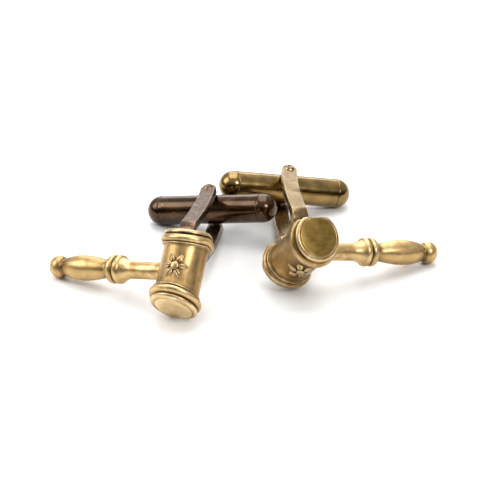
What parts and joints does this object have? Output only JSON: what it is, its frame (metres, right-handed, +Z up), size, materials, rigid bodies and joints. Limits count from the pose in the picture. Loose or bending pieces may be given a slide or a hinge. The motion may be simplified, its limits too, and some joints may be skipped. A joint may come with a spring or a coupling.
{
  "type": "gavel cufflinks",
  "caption": "Pair of gavel-shaped cufflinks in antique brass with swivelling bullet-bar backs, lying loose as a matched set.",
  "frame": {"origin": "centre of the pair's footprint, on the surface that it lies on", "axes": "+Z up, +X to the right as pictured from the front, +Y away from the viewer"},
  "size_m": [0.0494, 0.0354, 0.0116],
  "materials": {
    "left_gavel_head": "satin antique brass",
    "left_handle": "satin antique brass",
    "left_rosette": "satin antique brass, dark in the hollows",
    "left_base_plate": "dark bronze",
    "left_fork": "dark bronze, worn on the faces",
    "left_pivot_pin": "dark bronze, rubbed bright on the rivets",
    "left_bar_tube": "glossy dark bronze lacquer",
    "left_bar_cap": "glossy dark bronze lacquer",
    "left_detent_spring": "bright spring steel",
    "right_gavel_head": "satin antique brass",
    "right_handle": "satin antique brass",
    "right_rosette": "satin antique brass, dark in the hollows",
    "right_base_plate": "dark bronze",
    "right_fork": "dark bronze, worn on the faces",
    "right_pivot_pin": "dark bronze, rubbed bright on the rivets",
    "right_bar_tube": "glossy dark bronze lacquer",
    "right_bar_cap": "glossy dark bronze lacquer",
    "right_detent_spring": "bright spring steel"
  },
  "bodies": {
    "left_gavel": {"left_gavel_head": "left_gavel_head", "left_handle": "left_handle", "left_rosette": "left_rosette", "left_base_plate": "left_base_plate", "left_fork": "left_fork", "left_pivot_pin": "left_pivot_pin"},
    "left_bar": {"left_bar_tube": "left_bar_tube", "left_bar_cap_near": "left_bar_cap", "left_bar_cap_far": "left_bar_cap", "left_detent_spring": "left_detent_spring"},
    "right_gavel": {"right_gavel_head": "right_gavel_head", "right_handle": "right_handle", "right_rosette": "right_rosette", "right_base_plate": "right_base_plate", "right_fork": "right_fork", "right_pivot_pin": "right_pivot_pin"},
    "right_bar": {"right_bar_tube": "right_bar_tube", "right_bar_cap_near": "right_bar_cap", "right_bar_cap_far": "right_bar_cap", "right_detent_spring": "right_detent_spring"}
  },
  "joints": [
    {"name": "left_bar_swivel", "type": "hinge", "parent": "left_gavel", "child": "left_bar", "pos_m": [-0.00416, 0.00856, 0.00342], "axis": [-0.1662, 0.1704, 0.9713], "range_deg": [-50, 8]},
    {"name": "right_lift", "type": "slide", "parent": "left_gavel", "child": "right_gavel", "axis": [0.8365, 0.483, 0.2588], "range_m": [0, 0.03]},
    {"name": "right_bar_swivel", "type": "hinge", "parent": "right_gavel", "child": "right_bar", "pos_m": [0.00523, 0.01384, 0.00355], "axis": [-0.2193, -0.0906, -0.9714], "range_deg": [0, 90]}
  ]
}
